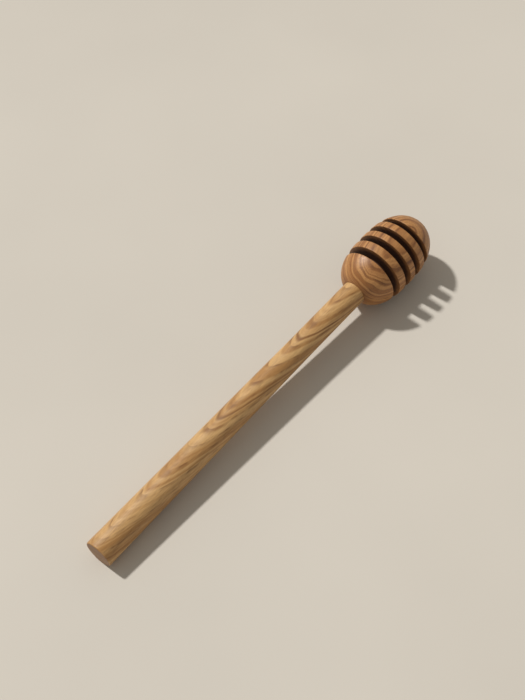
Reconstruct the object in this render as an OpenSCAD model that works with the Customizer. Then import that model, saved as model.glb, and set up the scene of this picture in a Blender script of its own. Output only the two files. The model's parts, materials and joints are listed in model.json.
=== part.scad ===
// Turned wooden honey dipper, lying on a table as it rests after use.
// A tapered handle is tenoned and glued into a grooved, egg-shaped head.
// All sizes are in millimetres. +X runs along the handle towards the head, +Z is up.

/* [Handle] */
// Length of the handle that shows, from the free end to the head
handle_length = 124; // [90:1:180]
// Diameter of the handle at its free end
handle_end_d = 9.8; // [9:0.1:14]
// Diameter of the straight neck that runs into the head
neck_d = 8.35; // [7.5:0.05:11]
// Length of the taper from the free end to the neck
taper_length = 95.5; // [20:0.5:105]
// Rounding of the sanded edge round the free end
end_rounding = 0.5; // [0.2:0.1:2]

/* [Head] */
// Largest diameter of the head
head_d = 22.4; // [18:0.1:32]
// Length of the dome between the handle and the first groove
dome_length = 8.1; // [6:0.1:14]
// Length of the rounded tip beyond the last groove
tip_length = 9; // [6:0.1:16]
// Fullness of the dome: 2 is an ellipse, more is squarer
dome_fullness = 3.2; // [2:0.1:4]
// Fullness of the tip: 2 is an ellipse, more is squarer
tip_fullness = 2.6; // [2:0.1:4]
// Width of the flat seat that shows round the handle
seat_margin = 0.3; // [0.1:0.1:1.5]

/* [Grooves] */
// Widths of the four honey grooves, from the handle outwards
groove_widths = [2.7, 2.7, 2.6, 2.3]; // [1.5:0.1:4]
// Widths of the three rings between the grooves
ring_widths = [3.1, 2.6, 2.9]; // [1.5:0.1:4]
// Diameter of the core that the grooves leave
core_d = 12; // [9:0.5:15]
// Chamfer that softens the rim of every ring
rim_chamfer = 0.25; // [0.1:0.05:0.5]

/* [Glued joint] */
// Diameter of the tenon turned on the handle
tenon_d = 6; // [4:0.1:7]
// Length of the tenon inside the head
tenon_length = 16; // [8:0.5:24]
// Chamfer that starts the tenon into its hole
tenon_chamfer = 0.6; // [0.2:0.1:1]
// Thickness of the glue film round the tenon
glue_gap = 0.1; // [0.05:0.05:0.3]
// Depth that the hole goes on past the tenon's end
hole_relief = 1.5; // [0.5:0.5:4]
// Point angle of the drill that bores the hole
drill_angle = 118; // [90:1:140]

/* [Hidden] */
$fn = 96;

end_r = handle_end_d / 2;
neck_r = neck_d / 2;
head_r = head_d / 2;
core_r = core_d / 2;
seat_r = neck_r + seat_margin;
tenon_r = tenon_d / 2;
hole_r = tenon_r + glue_gap;
hole_depth = tenon_length + hole_relief;
drill_point = hole_r / tan(drill_angle / 2);

// Steps along the curved stretches of the turned outlines
end_steps = 5;
dome_steps = 16;
ring_steps = 6;
tip_steps = 18;

function sum_of(list, count) = count <= 0 ? 0 : list[count - 1] + sum_of(list, count - 1);

// Where groove i starts and ends, measured from the seat against the handle
function groove_start(i) = dome_length + sum_of(groove_widths, i) + sum_of(ring_widths, i);
function groove_end(i) = groove_start(i) + groove_widths[i];

// The head is widest at the middle of its middle ring
last = len(groove_widths) - 1;
belly = (groove_end(1) + groove_start(2)) / 2;
head_length = groove_end(last) + tip_length;
tip_reach = head_length - belly;
dome_reach = belly / pow(1 - pow(seat_r / head_r, 2), 1 / dome_fullness);

// Radius of the head's outline at a distance z from the seat
function outline_r(z) = z < belly
    ? head_r * sqrt(1 - pow((belly - z) / dome_reach, dome_fullness))
    : head_r * sqrt(1 - pow((z - belly) / tip_reach, tip_fullness));

// Points on the dome and on the tip at an angle, where 90 degrees is the belly
function dome_point(a) = [head_r * sin(a), belly - dome_reach * pow(cos(a), 2 / dome_fullness)];
function tip_point(a) = [head_r * sin(a), belly + tip_reach * pow(cos(a), 2 / tip_fullness)];

function even(from, to, steps) = [for (i = [0:steps]) from + (to - from) * i / steps];

// The rim of a cut face: the outline just inside it, brought in by the chamfer
function rim(z, inside) = [outline_r(inside) - rim_chamfer, z];

dome_outline = let (edge = dome_length - rim_chamfer)
    concat([for (a = even(asin(seat_r / head_r), asin(outline_r(edge) / head_r), dome_steps)) dome_point(a)],
           [rim(dome_length, edge), [core_r, dome_length]]);

function ring_outline(i) =
    let (low = groove_end(i), high = groove_start(i + 1))
    concat([[core_r, low], rim(low, low + rim_chamfer)],
           [for (z = even(low + rim_chamfer, high - rim_chamfer, ring_steps)) [outline_r(z), z]],
           [rim(high, high - rim_chamfer), [core_r, high]]);

tip_outline = let (low = groove_end(last), edge = low + rim_chamfer)
    concat([[core_r, low], rim(low, edge)],
           [for (a = even(asin(outline_r(edge) / head_r), 0, tip_steps)) tip_point(a)]);

head_outline = concat([[0, 0]], dome_outline, [for (i = [0:last - 1]) each ring_outline(i)], tip_outline);

// The free end's rounding, as an arc from the end face round to the side
end_arc = [for (a = even(0, 90, end_steps))
    [end_r - end_rounding * (1 - sin(a)), end_rounding * (1 - cos(a))]];

handle_outline = concat([[0, 0]], end_arc, [
    [neck_r, taper_length],
    [neck_r, handle_length],
    [tenon_r, handle_length],
    [tenon_r, handle_length + tenon_length - tenon_chamfer],
    [tenon_r - tenon_chamfer, handle_length + tenon_length],
    [0, handle_length + tenon_length]]);

// The dipper lies on the rim of its free end and on the belly of its head
dipper_outline = concat(handle_outline, [for (p = head_outline) [p[0], p[1] + handle_length]]);
foot = end_arc[end_steps];
tilt = atan(max([for (p = dipper_outline) if (p[1] > handle_length) (p[0] - foot[0]) / (p[1] - foot[1])]));
lift = max([for (p = dipper_outline) p[0] * cos(tilt) - p[1] * sin(tilt)]);
back = min([for (p = dipper_outline) p[1] * cos(tilt) - p[0] * sin(tilt)]);
front = max([for (p = dipper_outline) p[1] * cos(tilt) + p[0] * sin(tilt)]);

module lying() {
    translate([-(back + front) / 2, 0, lift]) rotate([0, 90 - tilt, 0]) children();
}

module handle() {
    color("#C69B62") lying() rotate_extrude() polygon(handle_outline);
}

module head() {
    color("#B3804C") lying() translate([0, 0, handle_length]) difference() {
        rotate_extrude() polygon(head_outline);
        drilled_hole();
    }
}

// A blind hole with the cone that a twist drill leaves
module drilled_hole() {
    translate([0, 0, -1]) cylinder(r = hole_r, h = hole_depth + 1);
    translate([0, 0, hole_depth]) cylinder(r1 = hole_r, r2 = 0, h = drill_point);
}

module glue_line() {
    color("#E6D9B8") lying() translate([0, 0, handle_length]) difference() {
        cylinder(r = hole_r, h = tenon_length - tenon_chamfer);
        translate([0, 0, -1]) cylinder(r = tenon_r, h = tenon_length + 2);
    }
}

handle();
head();
glue_line();
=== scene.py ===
import json
import math

import bpy
from bpy.props import FloatProperty, FloatVectorProperty, IntProperty, PointerProperty
from mathutils import Matrix, Vector


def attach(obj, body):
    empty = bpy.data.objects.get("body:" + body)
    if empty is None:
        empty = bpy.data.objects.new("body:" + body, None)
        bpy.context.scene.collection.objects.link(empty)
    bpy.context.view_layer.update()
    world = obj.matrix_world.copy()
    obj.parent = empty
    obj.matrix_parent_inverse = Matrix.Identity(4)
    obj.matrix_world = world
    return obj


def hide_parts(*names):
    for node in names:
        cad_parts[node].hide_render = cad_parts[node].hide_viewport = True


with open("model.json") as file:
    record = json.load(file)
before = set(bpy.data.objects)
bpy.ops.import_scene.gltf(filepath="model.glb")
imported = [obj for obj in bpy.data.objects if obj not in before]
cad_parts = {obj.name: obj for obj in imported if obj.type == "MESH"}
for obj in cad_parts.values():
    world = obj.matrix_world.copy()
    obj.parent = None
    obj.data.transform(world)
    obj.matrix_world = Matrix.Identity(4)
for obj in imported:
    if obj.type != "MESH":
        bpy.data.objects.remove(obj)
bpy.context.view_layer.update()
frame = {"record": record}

bl_info = {
    "name": "Olive wood honey dipper",
    "version": (1, 0, 0),
    "blender": (4, 5, 0),
    "location": "3D View > Sidebar > Dipper",
    "description": "Turns a honey dipper's handle and grooved head and finishes them in oiled olive wood",
    "category": "Object",
}

MM = 0.001
BODY = "root"

# How the dipper lies: its free end, and the direction from there to the head
FREE_END_MOUNT = next(m for m in frame["record"]["mounts"] if m["name"] == "free_end_face")
FREE_END = Vector(FREE_END_MOUNT["pos_m"])
AXIS = -Vector(FREE_END_MOUNT["axis"]).normalized()
TILT = math.atan2(AXIS.z, AXIS.x)

# Each point's share of the full depth of a groove is stored under this name; the wood's material paints shade
# into the grooves with it
DEPTH = "groove_depth"

# Faces that turn by more than this at an edge meet in a crisp line
CREASE = math.radians(32)

# Points closer than this on a turned piece become one, which closes its seam and its ends
WELD = 0.0005 * MM

# Single dark lines in the handle: place along the growth layers, half width, and strength from 0 to 1
HANDLE_VEINS = [(16.1 * MM, 0.35 * MM, 0.8), (23.0 * MM, 0.4 * MM, 0.8)]


def linear(hex_colour):
    """The linear red, green and blue of an sRGB hex value."""
    channels = [int(hex_colour[i:i + 2], 16) / 255 for i in (1, 3, 5)]
    return [c / 12.92 if c <= 0.04045 else ((c + 0.055) / 1.055) ** 2.4 for c in channels]


class DipperSizes(bpy.types.PropertyGroup):
    """Sizes of the turned outline, measured along the axis and square to it."""

    handle_length: FloatProperty(
        name="Handle length", description="Length of the handle that shows, from the free end to the head",
        default=0.124, min=0.09, max=0.18, precision=4, unit="LENGTH")
    handle_end: FloatProperty(
        name="End diameter", description="Diameter of the handle at its free end",
        default=0.0098, min=0.009, max=0.014, precision=4, unit="LENGTH")
    neck: FloatProperty(
        name="Neck diameter", description="Diameter of the straight neck that runs into the head",
        default=0.00835, min=0.0075, max=0.011, precision=5, unit="LENGTH")
    taper: FloatProperty(
        name="Taper length", description="Length of the taper from the free end to the neck",
        default=0.0955, min=0.02, max=0.105, precision=4, unit="LENGTH")
    end_rounding: FloatProperty(
        name="End rounding", description="Radius of the sanded edge round the free end",
        default=0.0005, min=0.0002, max=0.002, precision=5, unit="LENGTH")
    tenon: FloatProperty(
        name="Tenon diameter", description="Diameter of the tenon that is glued into the head",
        default=0.006, min=0.004, max=0.007, precision=4, unit="LENGTH")
    tenon_length: FloatProperty(
        name="Tenon length", description="Length of the tenon inside the head",
        default=0.016, min=0.008, max=0.024, precision=4, unit="LENGTH")
    tenon_chamfer: FloatProperty(
        name="Tenon chamfer", description="Chamfer that starts the tenon into its hole",
        default=0.0006, min=0.0002, max=0.001, precision=5, unit="LENGTH")
    glue_gap: FloatProperty(
        name="Glue film", description="Thickness of the glue film round the tenon",
        default=0.0001, min=0.00005, max=0.0003, precision=5, unit="LENGTH")
    hole_relief: FloatProperty(
        name="Hole relief", description="Depth that the hole goes on past the tenon's end",
        default=0.0015, min=0.0005, max=0.004, precision=4, unit="LENGTH")
    drill_angle: FloatProperty(
        name="Drill point", description="Point angle of the drill that bores the hole",
        default=math.radians(118), min=math.radians(90), max=math.radians(140), subtype="ANGLE")
    head: FloatProperty(
        name="Head diameter", description="Largest diameter of the head",
        default=0.0224, min=0.018, max=0.032, precision=4, unit="LENGTH")
    dome: FloatProperty(
        name="Dome length", description="Length of the dome between the handle and the first groove",
        default=0.0081, min=0.006, max=0.014, precision=4, unit="LENGTH")
    tip: FloatProperty(
        name="Tip length", description="Length of the rounded tip beyond the last groove",
        default=0.009, min=0.006, max=0.016, precision=4, unit="LENGTH")
    dome_fullness: FloatProperty(
        name="Dome fullness", description="2 is an ellipse, more is squarer", default=3.2, min=2, max=4)
    tip_fullness: FloatProperty(
        name="Tip fullness", description="2 is an ellipse, more is squarer", default=2.6, min=2, max=4)
    seat_margin: FloatProperty(
        name="Seat margin", description="Width of the flat seat that shows round the handle",
        default=0.0003, min=0.0001, max=0.0015, precision=5, unit="LENGTH")
    grooves: FloatVectorProperty(
        name="Groove widths", description="Widths of the four honey grooves, from the handle outwards",
        size=4, default=(0.0027, 0.0027, 0.0026, 0.0023), precision=4, unit="LENGTH")
    rings: FloatVectorProperty(
        name="Ring widths", description="Widths of the three rings between the grooves",
        size=3, default=(0.0031, 0.0026, 0.0029), precision=4, unit="LENGTH")
    core: FloatProperty(
        name="Core diameter", description="Diameter of the core that the grooves leave",
        default=0.012, min=0.009, max=0.015, precision=4, unit="LENGTH")
    rim_rounding: FloatProperty(
        name="Rim rounding", description="Radius of the sanded rim of every ring",
        default=0.00025, min=0.0001, max=0.0005, precision=5, unit="LENGTH")
    root_rounding: FloatProperty(
        name="Root rounding", description="Radius that the parting tool leaves at the foot of a groove",
        default=0.0002, min=0.00005, max=0.0005, precision=5, unit="LENGTH")
    segments: IntProperty(
        name="Segments", description="Faces round each turned piece", default=160, min=24, max=256)


class DipperGrain(bpy.types.PropertyGroup):
    """How the growth layers lie in each piece. A layer direction is square to the layers."""

    handle_layer: FloatVectorProperty(
        name="Handle layers", description="Along the handle, across it and up, from layer to layer",
        size=3, default=(0.2, 0.3, 0.93))
    handle_ring: FloatProperty(
        name="Handle ring spacing", description="Mean distance between two growth lines of the handle",
        default=0.0019, min=0.0005, max=0.01, precision=5, unit="LENGTH")
    handle_wander: FloatProperty(
        name="Handle wander", description="How far the handle's layers stray from flat",
        default=0.0026, min=0, max=0.01, precision=5, unit="LENGTH")
    head_layer: FloatVectorProperty(
        name="Head layers", description="Along the head, across it and up, from layer to layer",
        size=3, default=(0.05, -0.4, 0.915))
    head_ring: FloatProperty(
        name="Head ring spacing", description="Mean distance between two growth lines of the head",
        default=0.00125, min=0.0005, max=0.01, precision=5, unit="LENGTH")
    head_wander: FloatProperty(
        name="Head wander", description="How far the head's layers stray from flat",
        default=0.003, min=0, max=0.01, precision=5, unit="LENGTH")


class DipperColours(bpy.types.PropertyGroup):
    """Colours of the wood, the glue and the floor."""

    handle_pale: FloatVectorProperty(
        name="Handle, pale", description="Early wood of the handle",
        subtype="COLOR", size=3, min=0, max=1, default=linear("#CDA36B"))
    handle_tan: FloatVectorProperty(
        name="Handle, tan", description="Denser growth of the handle",
        subtype="COLOR", size=3, min=0, max=1, default=linear("#AE7F49"))
    handle_line: FloatVectorProperty(
        name="Handle, lines", description="Late wood lines of the handle",
        subtype="COLOR", size=3, min=0, max=1, default=linear("#7A4E26"))
    head_pale: FloatVectorProperty(
        name="Head, pale", description="Early wood of the head",
        subtype="COLOR", size=3, min=0, max=1, default=linear("#C08A52"))
    head_tan: FloatVectorProperty(
        name="Head, tan", description="Denser growth of the head",
        subtype="COLOR", size=3, min=0, max=1, default=linear("#9A6535"))
    head_line: FloatVectorProperty(
        name="Head, lines", description="Late wood lines of the head",
        subtype="COLOR", size=3, min=0, max=1, default=linear("#63391A"))
    end_grain: FloatVectorProperty(
        name="End grain", description="Faces square to the axis, where the oil soaks in deepest",
        subtype="COLOR", size=3, min=0, max=1, default=linear("#7E5230"))
    # Mostly painted shade, the dark that the narrow grooves lie in; a little of it is the dull, unpolished
    # wood there
    groove: FloatVectorProperty(
        name="Groove", description="Unpolished wood deep in the grooves",
        subtype="COLOR", size=3, min=0, max=1, default=linear("#3A1D12"))
    glue: FloatVectorProperty(
        name="Glue", description="Cured white wood glue",
        subtype="COLOR", size=3, min=0, max=1, default=linear("#E6D9B8"))
    floor: FloatVectorProperty(
        name="Floor", description="Plain pale floor",
        subtype="COLOR", size=3, min=0, max=1, default=linear("#CFC7BA"))
    surround: FloatVectorProperty(
        name="Surround", description="Even light from all round",
        subtype="COLOR", size=3, min=0, max=1, default=linear("#FFFCF6"))


class DipperStage(bpy.types.PropertyGroup):
    """The camera, the lights and the floor."""

    azimuth: FloatProperty(
        name="Azimuth", description="Where the camera stands round the dipper: at 0 it looks along +Y",
        default=math.radians(-47.45), subtype="ANGLE")
    elevation: FloatProperty(
        name="Elevation", description="Height of the camera above the horizon",
        default=math.radians(54.82), subtype="ANGLE")
    roll: FloatProperty(
        name="Roll", description="How far the camera is turned round its own line of sight",
        default=math.radians(-2.34), subtype="ANGLE")
    distance: FloatProperty(
        name="Distance", description="From the camera to the point that it looks at",
        default=0.4489, min=0.1, precision=4, unit="LENGTH")
    aim: FloatVectorProperty(
        name="Aim", description="Point that the camera looks at", size=3,
        default=(0.00905, 0.01089, 0.005), precision=5, unit="LENGTH")
    lens: FloatProperty(
        name="Focal length", description="Focal length on a 36 mm sensor, in millimetres",
        default=69.5, min=20, max=200)
    key_from: FloatVectorProperty(
        name="Key light from", description="Direction that the key light comes from", size=3,
        default=(-0.0805, 0.6116, 0.787), subtype="DIRECTION")
    key_level: FloatProperty(
        name="Key level", description="Irradiance of the key light, in watts per square metre",
        default=2.7, min=0, max=6)
    key_softness: FloatProperty(
        name="Key softness", description="Angle that the key light fills, as seen from the dipper",
        default=math.radians(4), subtype="ANGLE")
    fill_level: FloatProperty(
        name="Fill level", description="Strength of the surround", default=0.34, min=0, max=1)
    floor_width: FloatProperty(
        name="Floor width", description="Length of each side of the floor",
        default=6, min=1, max=20, unit="LENGTH")


def add(tree, kind, settings=None, sockets=None):
    """Adds a node with its settings; a socket, by name or number, takes a value or a link."""
    node = tree.nodes.new(kind)
    for name, value in (settings or {}).items():
        setattr(node, name, value)
    for name, value in (sockets or {}).items():
        if isinstance(value, bpy.types.NodeSocket):
            tree.links.new(value, node.inputs[name])
        else:
            node.inputs[name].default_value = value
    return node


def rounded(corners, steps=5, guard=0.06 * MM):
    """The outline's points, from corners that are each (along the axis, radius, rounding).

    A rounding is an arc. A guard point on each side of the arc keeps the flat faces there flat to the eye."""
    points = []
    for i, (along, radius, rounding) in enumerate(corners):
        here = Vector((along, radius))
        if not rounding:
            points.append(here)
            continue
        before = Vector(corners[i - 1][:2]) - here
        after = Vector(corners[i + 1][:2]) - here
        half = before.angle(after) / 2
        reach = rounding / math.tan(half)
        first = here + before.normalized() * reach
        last = here + after.normalized() * reach
        centre = here + (before.normalized() + after.normalized()).normalized() * (rounding / math.sin(half))
        start = first - centre
        turn = start.angle_signed(last - centre)
        if before.length > reach + 2 * guard:
            points.append(first + before.normalized() * guard)
        for step in range(steps + 1):
            points.append(centre + Matrix.Rotation(-turn * step / steps, 2) @ start)
        if after.length > reach + 2 * guard:
            points.append(last + after.normalized() * guard)
    return points


def groove_bounds(sizes):
    """Where each groove starts and ends, from the free end of the handle."""
    bounds = []
    start = sizes.handle_length + sizes.dome
    for i, width in enumerate(sizes.grooves):
        bounds.append((start, start + width))
        start += width + (sizes.rings[i] if i < len(sizes.rings) else 0)
    return bounds


def head_end(sizes):
    """Where the tip of the head ends, from the free end of the handle."""
    return groove_bounds(sizes)[-1][1] + sizes.tip


def head_outline(sizes):
    """A function that gives the head's outer radius anywhere along the axis."""
    grooves = groove_bounds(sizes)
    radius = sizes.head / 2
    seat_radius = sizes.neck / 2 + sizes.seat_margin
    belly = (grooves[1][1] + grooves[2][0]) / 2
    flat = 1 - (seat_radius / radius) ** 2
    dome_reach = (belly - sizes.handle_length) / flat ** (1 / sizes.dome_fullness)
    tip_reach = head_end(sizes) - belly

    def outline(along):
        if along < belly:
            share = min(1, (belly - along) / dome_reach) ** sizes.dome_fullness
        else:
            share = min(1, (along - belly) / tip_reach) ** sizes.tip_fullness
        return radius * math.sqrt(max(0, 1 - share))

    return outline


def handle_corners(sizes):
    """The handle from its free end to the end of its tenon."""
    length = sizes.handle_length
    neck = sizes.neck / 2
    tenon = sizes.tenon / 2
    inner = length + sizes.tenon_length
    return [
        (0, 0, 0),
        (0, sizes.handle_end / 2, sizes.end_rounding),
        (sizes.taper, neck, 0),
        (length, neck, 0),
        (length, tenon, 0),
        (inner - sizes.tenon_chamfer, tenon, 0),
        (inner, tenon - sizes.tenon_chamfer, 0),
        (inner, 0, 0),
    ]


def head_corners(sizes, dome_steps=30, ring_steps=8, tip_steps=44):
    """The head from the point of its drilled hole, over its seat and rings, to its tip."""
    outline = head_outline(sizes)
    grooves = groove_bounds(sizes)
    seat = sizes.handle_length
    end = head_end(sizes)
    hole = sizes.tenon / 2 + sizes.glue_gap
    bottom = seat + sizes.tenon_length + sizes.hole_relief
    point = bottom + hole / math.tan(sizes.drill_angle / 2)
    core = sizes.core / 2
    clear = 2 * sizes.rim_rounding
    corners = [(point, 0, 0), (bottom, hole, 0), (seat, hole, 0)]
    for step in range(dome_steps + 1):
        # The points crowd towards the seat, where the dome turns fastest
        along = seat + (grooves[0][0] - clear - seat) * (step / dome_steps) ** 2
        corners.append((along, outline(along), 0))
    for i, (low, high) in enumerate(grooves):
        corners += [
            (low, outline(low), sizes.rim_rounding),
            (low, core, sizes.root_rounding),
            (high, core, sizes.root_rounding),
            (high, outline(high), sizes.rim_rounding),
        ]
        if i + 1 < len(grooves):
            # The ring that follows the groove
            until = grooves[i + 1][0] - clear
            for step in range(ring_steps + 1):
                along = high + clear + (until - high - clear) * step / ring_steps
                corners.append((along, outline(along), 0))
    start = grooves[-1][1] + clear
    for step in range(tip_steps):
        # Even steps of a quarter turn crowd the points towards the round nose
        along = start + (end - start) * math.sin(math.pi / 2 * step / tip_steps)
        corners.append((along, outline(along), 0))
    return corners + [(end, 0, 0)]


def glue_corners(sizes):
    """The film of glue, as a closed tube between the tenon and its hole."""
    seat = sizes.handle_length
    inner = seat + sizes.tenon_length - sizes.tenon_chamfer
    tenon = sizes.tenon / 2
    hole = tenon + sizes.glue_gap
    return [(seat, tenon, 0), (seat, hole, 0), (inner, hole, 0), (inner, tenon, 0), (seat, tenon, 0)]


def lathe_tree():
    """Geometry Nodes that turn an outline round the axis and lay it down as the dipper lies."""
    tree = bpy.data.node_groups.new("Lathe", "GeometryNodeTree")
    face = tree.interface
    face.new_socket("Geometry", in_out="OUTPUT", socket_type="NodeSocketGeometry")
    face.new_socket("Outline", in_out="INPUT", socket_type="NodeSocketGeometry")
    face.new_socket("Segments", in_out="INPUT", socket_type="NodeSocketInt")
    face.new_socket("Free end", in_out="INPUT", socket_type="NodeSocketVector")
    face.new_socket("Tilt", in_out="INPUT", socket_type="NodeSocketFloat")
    face.new_socket("Crease", in_out="INPUT", socket_type="NodeSocketFloat")
    face.new_socket("Weld", in_out="INPUT", socket_type="NodeSocketFloat")
    face.new_socket("Material", in_out="INPUT", socket_type="NodeSocketMaterial")
    given = add(tree, "NodeGroupInput").outputs

    # A grid with one row of points for each step round the axis
    size = add(tree, "GeometryNodeAttributeDomainSize", None, {0: given["Outline"]})
    count = size.outputs["Point Count"]
    rows = add(tree, "ShaderNodeMath", {"operation": "ADD"}, {0: given["Segments"], 1: 1})
    grid = add(tree, "GeometryNodeMeshGrid", None, {"Vertices X": rows.outputs[0], "Vertices Y": count})
    index = add(tree, "GeometryNodeInputIndex").outputs[0]
    place = add(tree, "ShaderNodeMath", {"operation": "MODULO"}, {0: index, 1: count}).outputs[0]
    row = add(tree, "ShaderNodeMath", {"operation": "DIVIDE"}, {0: index, 1: count}).outputs[0]
    row = add(tree, "ShaderNodeMath", {"operation": "FLOOR"}, {0: row}).outputs[0]
    step = add(tree, "ShaderNodeMath", {"operation": "DIVIDE"}, {0: 2 * math.pi, 1: given["Segments"]})
    angle = add(tree, "ShaderNodeMath", {"operation": "MULTIPLY"}, {0: row, 1: step.outputs[0]}).outputs[0]

    # Each grid point takes its place along the axis and its radius from the outline
    position = add(tree, "GeometryNodeInputPosition").outputs[0]
    sample = add(tree, "GeometryNodeSampleIndex", {"data_type": "FLOAT_VECTOR"},
                 {"Geometry": given["Outline"], "Value": position, "Index": place})
    parts = add(tree, "ShaderNodeSeparateXYZ", None, {0: sample.outputs[0]}).outputs
    cosine = add(tree, "ShaderNodeMath", {"operation": "COSINE"}, {0: angle}).outputs[0]
    sine = add(tree, "ShaderNodeMath", {"operation": "SINE"}, {0: angle}).outputs[0]
    across = add(tree, "ShaderNodeMath", {"operation": "MULTIPLY"}, {0: parts["Y"], 1: cosine}).outputs[0]
    up = add(tree, "ShaderNodeMath", {"operation": "MULTIPLY"}, {0: parts["Y"], 1: sine}).outputs[0]
    turned = add(tree, "ShaderNodeCombineXYZ", None, {0: parts["X"], 1: across, 2: up}).outputs[0]
    depth = add(tree, "GeometryNodeInputNamedAttribute", {"data_type": "FLOAT"}, {"Name": DEPTH})
    deep = add(tree, "GeometryNodeSampleIndex", {"data_type": "FLOAT"},
               {"Geometry": given["Outline"], "Value": depth.outputs[0], "Index": place})
    shape = add(tree, "GeometryNodeStoreNamedAttribute", {"data_type": "FLOAT", "domain": "POINT"},
                {"Geometry": grid.outputs[0], "Name": DEPTH, "Value": deep.outputs[0]})
    shape = add(tree, "GeometryNodeSetPosition", None, {"Geometry": shape.outputs[0], "Position": turned})
    shape = add(tree, "GeometryNodeMergeByDistance", None,
                {"Geometry": shape.outputs[0], "Distance": given["Weld"]})

    # Faces are smooth, and an edge is crisp where the faces beside it turn by more than the crease
    shape = add(tree, "GeometryNodeSetShadeSmooth", {"domain": "FACE"}, {0: shape.outputs[0], 2: True})
    bend = add(tree, "GeometryNodeInputMeshEdgeAngle").outputs[0]
    soft = add(tree, "FunctionNodeCompare", {"data_type": "FLOAT", "operation": "LESS_THAN"},
               {0: bend, 1: given["Crease"]}).outputs[0]
    shape = add(tree, "GeometryNodeSetShadeSmooth", {"domain": "EDGE"}, {0: shape.outputs[0], 2: soft})

    # The axis rises from the free end by the tilt
    turn = add(tree, "ShaderNodeMath", {"operation": "MULTIPLY"}, {0: given["Tilt"], 1: -1}).outputs[0]
    spin = add(tree, "ShaderNodeCombineXYZ", None, {1: turn}).outputs[0]
    shape = add(tree, "GeometryNodeTransform", None,
                {"Geometry": shape.outputs[0], "Translation": given["Free end"], "Rotation": spin})
    shape = add(tree, "GeometryNodeRealizeInstances", None, {0: shape.outputs[0]})
    shape = add(tree, "GeometryNodeSetMaterial", None,
                {"Geometry": shape.outputs[0], "Material": given["Material"]})
    add(tree, "NodeGroupOutput", None, {0: shape.outputs[0]})
    return tree


def turn_piece(name, points, depths, material, segments):
    """Turns one outline into a closed piece with its place in its mesh."""
    outline = bpy.data.meshes.new(name + "_outline")
    edges = [(i, i + 1) for i in range(len(points) - 1)]
    outline.from_pydata([(p[0], p[1], 0) for p in points], edges, [])
    outline.attributes.new(DEPTH, "FLOAT", "POINT").data.foreach_set("value", depths)
    blank = bpy.data.objects.new(name + "_blank", outline)
    bpy.context.scene.collection.objects.link(blank)
    modifier = blank.modifiers.new("Lathe", "NODES")
    modifier.node_group = bpy.data.node_groups.get("Lathe") or lathe_tree()
    values = {
        "Segments": segments,
        "Free end": FREE_END,
        "Tilt": TILT,
        "Crease": CREASE,
        "Weld": WELD,
        "Material": material,
    }
    for item in modifier.node_group.interface.items_tree:
        if item.in_out == "INPUT" and item.name in values:
            modifier[item.identifier] = values[item.name]
    graph = bpy.context.evaluated_depsgraph_get()
    mesh = bpy.data.meshes.new_from_object(blank.evaluated_get(graph), depsgraph=graph)
    bpy.data.objects.remove(blank)
    bpy.data.meshes.remove(outline)
    if not mesh.polygons:
        raise RuntimeError(f"the lathe made no faces for {name}")
    mesh.name = name
    piece = bpy.data.objects.new(name, mesh)
    bpy.context.scene.collection.objects.link(piece)
    return piece


def fit_piece(piece, node):
    """Says what the piece rides on, and hides the construction node that it stands for."""
    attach(piece, BODY)
    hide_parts(node)


def new_material(name):
    """An empty material and its node tree."""
    material = bpy.data.materials.new(name)
    material.use_nodes = True
    material.node_tree.nodes.clear()
    return material, material.node_tree


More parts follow.
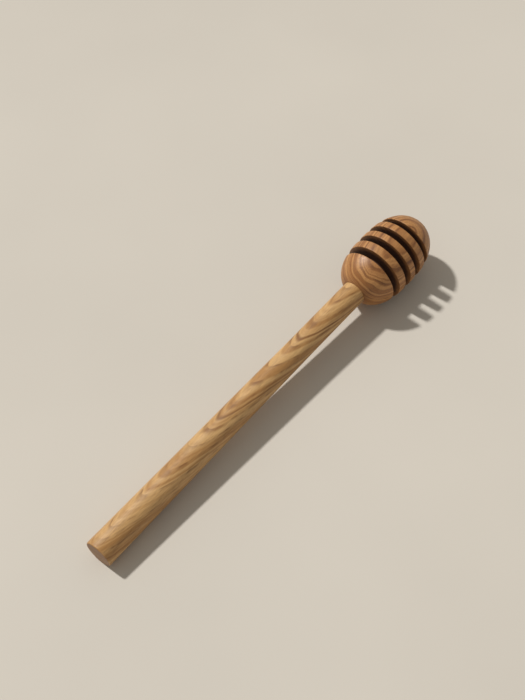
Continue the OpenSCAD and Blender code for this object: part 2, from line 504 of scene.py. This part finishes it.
def olive_wood(name, pale, tan, line, layer, ring, wander, veins=()):
    """Oiled olive wood, turned and fine sanded: close grain with wandering brown growth lines.

    layer is the direction, in the dipper's own axes, in which the growth layers lie on each other. The eye
    gets warm, irregular bands, long fibres, short dark pores and a low satin sheen."""
    colours = bpy.context.scene.dipper_colours
    material, tree = new_material(name)
    spacing = ring / MM

    # Millimetres along the dipper's own axis from its free end
    straighten = Matrix.Rotation(TILT, 3, "Y")
    here = add(tree, "ShaderNodeTexCoord").outputs["Object"]
    grain = add(tree, "ShaderNodeMapping", None, {
        "Vector": here,
        "Location": -(straighten @ FREE_END) / MM,
        "Rotation": (0, TILT, 0),
        "Scale": (1 / MM, 1 / MM, 1 / MM),
    }).outputs[0]

    # The layers wander over about 9 mm across the grain, and three times as far along it
    slow = add(tree, "ShaderNodeVectorMath", {"operation": "MULTIPLY"}, {0: grain, 1: (0.35, 1, 1)}).outputs[0]
    drift = add(tree, "ShaderNodeTexNoise", None,
                {"Vector": slow, "Scale": 0.11, "Detail": 2, "Roughness": 0.45}).outputs["Color"]
    drift = add(tree, "ShaderNodeVectorMath", {"operation": "SUBTRACT"}, {0: drift, 1: (0.5, 0.5, 0.5)})
    drift = add(tree, "ShaderNodeVectorMath", {"operation": "SCALE"},
                {0: drift.outputs[0], "Scale": wander / MM})
    bent = add(tree, "ShaderNodeVectorMath", {"operation": "ADD"},
               {0: grain, 1: drift.outputs[0]}).outputs[0]
    level = add(tree, "ShaderNodeVectorMath", {"operation": "DOT_PRODUCT"},
                {0: bent, 1: layer}).outputs["Value"]

    # Broad bands of paler and denser growth
    band = add(tree, "ShaderNodeTexNoise", {"noise_dimensions": "1D"},
               {"W": level, "Scale": 0.75 / spacing, "Detail": 3, "Roughness": 0.6}).outputs[0]
    band = add(tree, "ShaderNodeMapRange", {"interpolation_type": "SMOOTHSTEP"},
               {0: band, 1: 0.38, 2: 0.62}).outputs[0]
    wood = add(tree, "ShaderNodeMix", {"data_type": "RGBA"},
               {0: band, 6: [*pale, 1], 7: [*tan, 1]}).outputs[2]

    # Late wood lines, each darkening slowly and ending sharply, some strong and some faint
    shift = add(tree, "ShaderNodeTexNoise", {"noise_dimensions": "1D"},
                {"W": level, "Scale": 0.4 / spacing, "Detail": 1}).outputs[0]
    phase = add(tree, "ShaderNodeMath", {"operation": "DIVIDE"}, {0: level, 1: spacing}).outputs[0]
    phase = add(tree, "ShaderNodeMath", {"operation": "MULTIPLY_ADD"},
                {0: shift, 1: 2.2, 2: phase}).outputs[0]
    phase = add(tree, "ShaderNodeMath", {"operation": "FRACT"}, {0: phase}).outputs[0]
    late = add(tree, "ShaderNodeMapRange", {"interpolation_type": "SMOOTHSTEP"},
               {0: phase, 1: 0.55, 2: 1.0}).outputs[0]
    faint = add(tree, "ShaderNodeTexNoise", None, {"Vector": bent, "Scale": 0.22, "Detail": 2}).outputs[0]
    faint = add(tree, "ShaderNodeMapRange", {"interpolation_type": "SMOOTHSTEP"},
                {0: faint, 1: 0.35, 2: 0.7, 3: 0.08, 4: 0.8}).outputs[0]
    late = add(tree, "ShaderNodeMath", {"operation": "MULTIPLY"}, {0: late, 1: faint}).outputs[0]
    for place, width, strength in veins:
        away = add(tree, "ShaderNodeMath", {"operation": "SUBTRACT"}, {0: level, 1: place / MM}).outputs[0]
        away = add(tree, "ShaderNodeMath", {"operation": "ABSOLUTE"}, {0: away}).outputs[0]
        vein = add(tree, "ShaderNodeMapRange", {"interpolation_type": "SMOOTHSTEP"},
                   {0: away, 1: 0, 2: width / MM, 3: strength, 4: 0}).outputs[0]
        late = add(tree, "ShaderNodeMath", {"operation": "MAXIMUM"}, {0: late, 1: vein}).outputs[0]
    wood = add(tree, "ShaderNodeMix", {"data_type": "RGBA"},
               {0: late, 6: wood, 7: [*line, 1]}).outputs[2]

    # Fibres about 0.3 mm apart that run along the axis; real ones are finer and wouldn't show
    strands = add(tree, "ShaderNodeVectorMath", {"operation": "MULTIPLY"},
                  {0: bent, 1: (0.06, 1, 1)}).outputs[0]
    fibre = add(tree, "ShaderNodeTexNoise", None,
                {"Vector": strands, "Scale": 3.2, "Detail": 3, "Roughness": 0.6}).outputs[0]
    shade = add(tree, "ShaderNodeMapRange", None, {0: fibre, 1: 0.3, 2: 0.7, 3: 0.84, 4: 1.12}).outputs[0]
    wood = add(tree, "ShaderNodeVectorMath", {"operation": "SCALE"}, {0: wood, "Scale": shade}).outputs[0]

    # Pores: dark dashes 2 to 3 mm long and about 0.2 mm wide
    dashes = add(tree, "ShaderNodeVectorMath", {"operation": "MULTIPLY"},
                 {0: grain, 1: (0.07, 1, 1)}).outputs[0]
    pore = add(tree, "ShaderNodeTexNoise", None,
               {"Vector": dashes, "Scale": 5.5, "Detail": 1, "Roughness": 0.4}).outputs[0]
    pore = add(tree, "ShaderNodeMapRange", {"interpolation_type": "SMOOTHSTEP"},
               {0: pore, 1: 0.6, 2: 0.72, 3: 0, 4: 0.45}).outputs[0]
    wood = add(tree, "ShaderNodeMix", {"data_type": "RGBA"},
               {0: pore, 6: wood, 7: [*line, 1]}).outputs[2]

    # End grain drinks more oil, so faces square to the axis are darker
    normal = add(tree, "ShaderNodeNewGeometry").outputs["Normal"]
    square = add(tree, "ShaderNodeVectorMath", {"operation": "DOT_PRODUCT"},
                 {0: normal, 1: AXIS}).outputs["Value"]
    square = add(tree, "ShaderNodeMath", {"operation": "ABSOLUTE"}, {0: square}).outputs[0]
    square = add(tree, "ShaderNodeMapRange", {"interpolation_type": "SMOOTHSTEP"},
                 {0: square, 1: 0.75, 2: 1, 3: 0, 4: 0.72}).outputs[0]
    wood = add(tree, "ShaderNodeMix", {"data_type": "RGBA"},
               {0: square, 6: wood, 7: [*colours.end_grain, 1]}).outputs[2]

    # Mostly painted shade: the wood in the grooves is darker the deeper it lies, standing in for the shade in
    # these narrow recesses; a little of it is the unpolished wood there, as the grooves are too narrow to
    # polish
    deep = add(tree, "ShaderNodeAttribute", {"attribute_name": DEPTH}).outputs["Fac"]
    dark = add(tree, "ShaderNodeMapRange", {"interpolation_type": "SMOOTHSTEP"},
               {0: deep, 1: 0.02, 2: 0.4, 3: 0, 4: 0.9}).outputs[0]
    wood = add(tree, "ShaderNodeMix", {"data_type": "RGBA"},
               {0: dark, 6: wood, 7: [*colours.groove, 1]}).outputs[2]

    # Rubbed-in oil: a satin sheen that varies with the fibres and is dull in the grooves
    sheen = add(tree, "ShaderNodeMapRange", None, {0: fibre, 1: 0.3, 2: 0.7, 3: 0.5, 4: 0.4}).outputs[0]
    sheen = add(tree, "ShaderNodeMix", {"data_type": "FLOAT"}, {0: dark, 2: sheen, 3: 0.75}).outputs[0]
    relief = add(tree, "ShaderNodeMath", {"operation": "SUBTRACT"}, {0: fibre, 1: pore}).outputs[0]
    bump = add(tree, "ShaderNodeBump", None,
               {"Height": relief, "Strength": 0.35, "Distance": 0.06 * MM}).outputs[0]
    surface = add(tree, "ShaderNodeBsdfPrincipled", None,
                  {"Base Color": wood, "Roughness": sheen, "IOR": 1.48, "Normal": bump})
    add(tree, "ShaderNodeOutputMaterial", None, {"Surface": surface.outputs[0]})
    return material


def cured_glue(name):
    """Cured white wood glue: a hard, slightly cloudy cream film with a dull gloss."""
    material, tree = new_material(name)
    here = add(tree, "ShaderNodeTexCoord").outputs["Object"]
    cloud = add(tree, "ShaderNodeTexNoise", None, {"Vector": here, "Scale": 0.4 / MM, "Detail": 2}).outputs[0]
    cream = bpy.context.scene.dipper_colours.glue
    clouded = [0.8 * channel for channel in cream]
    colour = add(tree, "ShaderNodeMix", {"data_type": "RGBA"},
                 {0: cloud, 6: [*cream, 1], 7: [*clouded, 1]}).outputs[2]
    surface = add(tree, "ShaderNodeBsdfPrincipled", None,
                  {"Base Color": colour, "Roughness": 0.35, "IOR": 1.46})
    add(tree, "ShaderNodeOutputMaterial", None, {"Surface": surface.outputs[0]})
    return material


def painted_board(name):
    """Matt painted board: an even pale beige with the faintest mottle, so that only the shadow shows."""
    material, tree = new_material(name)
    here = add(tree, "ShaderNodeTexCoord").outputs["Object"]
    mottle = add(tree, "ShaderNodeTexNoise", None, {"Vector": here, "Scale": 9, "Detail": 3}).outputs[0]
    shade = add(tree, "ShaderNodeMapRange", None, {0: mottle, 1: 0.3, 2: 0.7, 3: 0.97, 4: 1.03}).outputs[0]
    beige = bpy.context.scene.dipper_colours.floor
    colour = add(tree, "ShaderNodeVectorMath", {"operation": "SCALE"}, {0: beige, "Scale": shade}).outputs[0]
    surface = add(tree, "ShaderNodeBsdfPrincipled", None,
                  {"Base Color": colour, "Roughness": 0.7, "IOR": 1.45})
    add(tree, "ShaderNodeOutputMaterial", None, {"Surface": surface.outputs[0]})
    return material


class DIPPER_OT_handle(bpy.types.Operator):
    """Turn the tapered handle and its tenon"""

    bl_idname = "dipper.handle"
    bl_label = "Handle"

    def execute(self, context):
        sizes = context.scene.dipper_sizes
        colours = context.scene.dipper_colours
        grain = context.scene.dipper_grain
        points = rounded(handle_corners(sizes))
        wood = olive_wood(
            "olive_wood_handle", colours.handle_pale, colours.handle_tan, colours.handle_line,
            grain.handle_layer, grain.handle_ring, grain.handle_wander, HANDLE_VEINS)
        piece = turn_piece("dipper_handle", points, [0.0] * len(points), wood, sizes.segments)
        fit_piece(piece, "handle")
        return {"FINISHED"}


class DIPPER_OT_head(bpy.types.Operator):
    """Turn the head with its four honey grooves and its drilled hole"""

    bl_idname = "dipper.head"
    bl_label = "Head"

    def execute(self, context):
        sizes = context.scene.dipper_sizes
        colours = context.scene.dipper_colours
        grain = context.scene.dipper_grain
        points = rounded(head_corners(sizes))
        outline = head_outline(sizes)
        # How deep each point lies in its groove; the wood paints shade into the grooves from this
        full = sizes.head / 2 - sizes.core / 2
        depths = [max(0.0, min(1.0, (outline(p[0]) - p[1] - sizes.rim_rounding) / full)) for p in points]
        wood = olive_wood(
            "olive_wood_head", colours.head_pale, colours.head_tan, colours.head_line,
            grain.head_layer, grain.head_ring, grain.head_wander)
        piece = turn_piece("dipper_head", points, depths, wood, sizes.segments)
        fit_piece(piece, "head")
        return {"FINISHED"}


class DIPPER_OT_glue(bpy.types.Operator):
    """Spread the film of glue between the tenon and its hole"""

    bl_idname = "dipper.glue"
    bl_label = "Glue film"

    def execute(self, context):
        sizes = context.scene.dipper_sizes
        points = rounded(glue_corners(sizes))
        glue = cured_glue("cured_wood_glue")
        piece = turn_piece("dipper_glue", points, [0.0] * len(points), glue, sizes.segments)
        fit_piece(piece, "glue_line")
        return {"FINISHED"}


def add_camera(scene, stage):
    """The camera, where it stands round the dipper and turned by its roll."""
    back = Vector((
        math.sin(stage.azimuth) * math.cos(stage.elevation),
        -math.cos(stage.azimuth) * math.cos(stage.elevation),
        math.sin(stage.elevation)))
    data = bpy.data.cameras.new("camera")
    data.lens = stage.lens
    data.clip_start = 10 * MM
    camera = bpy.data.objects.new("camera", data)
    scene.collection.objects.link(camera)
    camera.rotation_mode = "QUATERNION"
    roll = Matrix.Rotation(stage.roll, 3, "Z").to_quaternion()
    camera.rotation_quaternion = (-back).to_track_quat("-Z", "Y") @ roll
    camera.location = Vector(stage.aim) + back * stage.distance
    scene.camera = camera


def add_lights(scene, stage):
    """A soft key light high on the far side of the handle, and an even, nearly white surround."""
    lamp = bpy.data.lights.new("key", "SUN")
    lamp.energy = stage.key_level
    lamp.angle = stage.key_softness
    key = bpy.data.objects.new("key", lamp)
    scene.collection.objects.link(key)
    key.rotation_mode = "QUATERNION"
    key.rotation_quaternion = Vector(stage.key_from).to_track_quat("Z", "Y")
    world = bpy.data.worlds.new("surround")
    world.use_nodes = True
    surround = world.node_tree.nodes["Background"]
    surround.inputs["Color"].default_value = [*scene.dipper_colours.surround, 1]
    surround.inputs["Strength"].default_value = stage.fill_level
    scene.world = world


def add_floor(scene, stage):
    """One square of painted board under the dipper."""
    half = stage.floor_width / 2
    corners = [(-half, -half, 0), (half, -half, 0), (half, half, 0), (-half, half, 0)]
    mesh = bpy.data.meshes.new("floor")
    mesh.from_pydata(corners, [], [(0, 1, 2, 3)])
    mesh.materials.append(painted_board("matt_painted_board"))
    floor = bpy.data.objects.new("floor", mesh)
    scene.collection.objects.link(floor)


class DIPPER_OT_stage(bpy.types.Operator):
    """Set up the camera, the lights and the floor"""

    bl_idname = "dipper.stage"
    bl_label = "Stage"

    def execute(self, context):
        scene = context.scene
        scene.view_settings.view_transform = "Standard"
        add_camera(scene, scene.dipper_stage)
        add_lights(scene, scene.dipper_stage)
        add_floor(scene, scene.dipper_stage)
        return {"FINISHED"}


OPERATORS = (DIPPER_OT_handle, DIPPER_OT_head, DIPPER_OT_glue, DIPPER_OT_stage)
GROUPS = {
    "dipper_sizes": DipperSizes,
    "dipper_grain": DipperGrain,
    "dipper_colours": DipperColours,
    "dipper_stage": DipperStage,
}


class DIPPER_PT_panel(bpy.types.Panel):
    """The dipper's sizes, grain, colours and stage, and a button for each piece"""

    bl_idname = "DIPPER_PT_panel"
    bl_label = "Honey dipper"
    bl_space_type = "VIEW_3D"
    bl_region_type = "UI"
    bl_category = "Dipper"

    def draw(self, context):
        for name, group in GROUPS.items():
            box = self.layout.box()
            for prop in group.__annotations__:
                box.prop(getattr(context.scene, name), prop)
        for operator in OPERATORS:
            self.layout.operator(operator.bl_idname)


def register():
    for name, group in GROUPS.items():
        bpy.utils.register_class(group)
        setattr(bpy.types.Scene, name, PointerProperty(type=group))
    for kind in (*OPERATORS, DIPPER_PT_panel):
        bpy.utils.register_class(kind)


def unregister():
    for kind in (DIPPER_PT_panel, *reversed(OPERATORS)):
        bpy.utils.unregister_class(kind)
    for name, group in reversed(GROUPS.items()):
        delattr(bpy.types.Scene, name)
        bpy.utils.unregister_class(group)


def main():
    register()
    bpy.ops.dipper.handle()
    bpy.ops.dipper.head()
    bpy.ops.dipper.glue()
    bpy.ops.dipper.stage()


if __name__ == "__main__":
    main()
